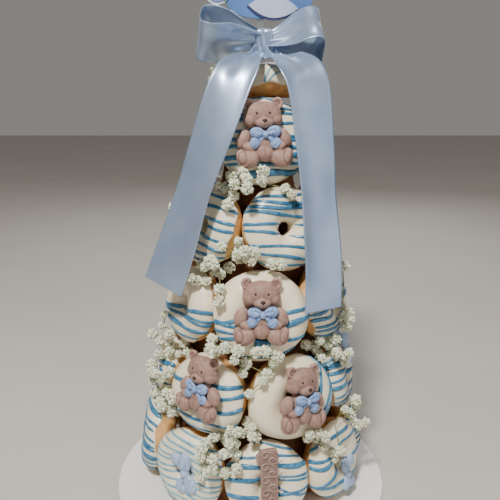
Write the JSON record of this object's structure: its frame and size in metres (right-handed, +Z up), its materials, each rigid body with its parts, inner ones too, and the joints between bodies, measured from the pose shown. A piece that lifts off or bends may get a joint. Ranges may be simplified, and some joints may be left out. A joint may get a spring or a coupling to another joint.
{
  "type": "doughnut tower",
  "caption": "Cone-shaped tower of glazed ring doughnuts standing on edge in tiers on a round board, trimmed with fondant bears, flowers, a satin bow and a topper.",
  "frame": {"origin": "middle of the board's underside", "axes": "+Z up; -Y is the front, where the figure and the bears are; +X to the right as seen from the front"},
  "size_m": [0.305, 0.305, 0.574],
  "materials": {
    "glazed_dough": "cream sugar glaze with a soft shine over fried dough",
    "board_card": "smooth coated card",
    "core": "dull, in deep shade",
    "brown_fondant": "matt sugar paste",
    "blue_fondant": "matt sugar paste",
    "satin": "satin weave with a soft shine",
    "blossom": "dry petals",
    "clear_stick": "clear and polished",
    "blue_card": "matt card",
    "pale_card": "matt card",
    "edge_card": "matt card"
  },
  "bodies": {
    "root": {"board": "board_card", "core_cone": "core", "doughnut_1_1": "glazed_dough", "doughnut_1_2": "glazed_dough", "doughnut_1_3": "glazed_dough", "doughnut_1_4": "glazed_dough", "doughnut_1_5": "glazed_dough", "doughnut_1_6": "glazed_dough", "doughnut_1_7": "glazed_dough", "doughnut_1_8": "glazed_dough", "doughnut_2_1": "glazed_dough", "doughnut_2_2": "glazed_dough", "doughnut_2_3": "glazed_dough", "doughnut_2_4": "glazed_dough", "doughnut_2_5": "glazed_dough", "doughnut_2_6": "glazed_dough", "doughnut_2_7": "glazed_dough", "doughnut_3_1": "glazed_dough", "doughnut_3_2": "glazed_dough", "doughnut_3_3": "glazed_dough", "doughnut_3_4": "glazed_dough", "doughnut_3_5": "glazed_dough", "doughnut_3_6": "glazed_dough", "doughnut_4_1": "glazed_dough", "doughnut_4_2": "glazed_dough", "doughnut_4_3": "glazed_dough", "doughnut_4_4": "glazed_dough", "doughnut_4_5": "glazed_dough", "doughnut_5_1": "glazed_dough", "doughnut_5_2": "glazed_dough", "doughnut_5_3": "glazed_dough", "doughnut_5_4": "glazed_dough", "doughnut_cap": "glazed_dough", "bear_top": "brown_fondant", "bear_top_tie": "blue_fondant", "bear_middle": "brown_fondant", "bear_middle_tie": "blue_fondant", "bear_left": "brown_fondant", "bear_left_tie": "blue_fondant", "bear_right": "brown_fondant", "bear_right_tie": "blue_fondant", "bow_left": "blue_fondant", "bow_right": "blue_fondant", "bow_base": "blue_fondant", "number_one": "brown_fondant", "satin_bow": "satin", "satin_tail_left": "satin", "satin_tail_right": "satin", "topper_stick": "clear_stick", "topper_plaque": "blue_card", "topper_petal": "pale_card", "topper_button": "edge_card", "spray_under_bear": "blossom", "spray_waist": "blossom", "spray_middle": "blossom", "spray_side": "blossom", "spray_low": "blossom", "spray_right": "blossom", "spray_corner": "blossom", "spray_back": "blossom"}
  },
  "joints": []
}
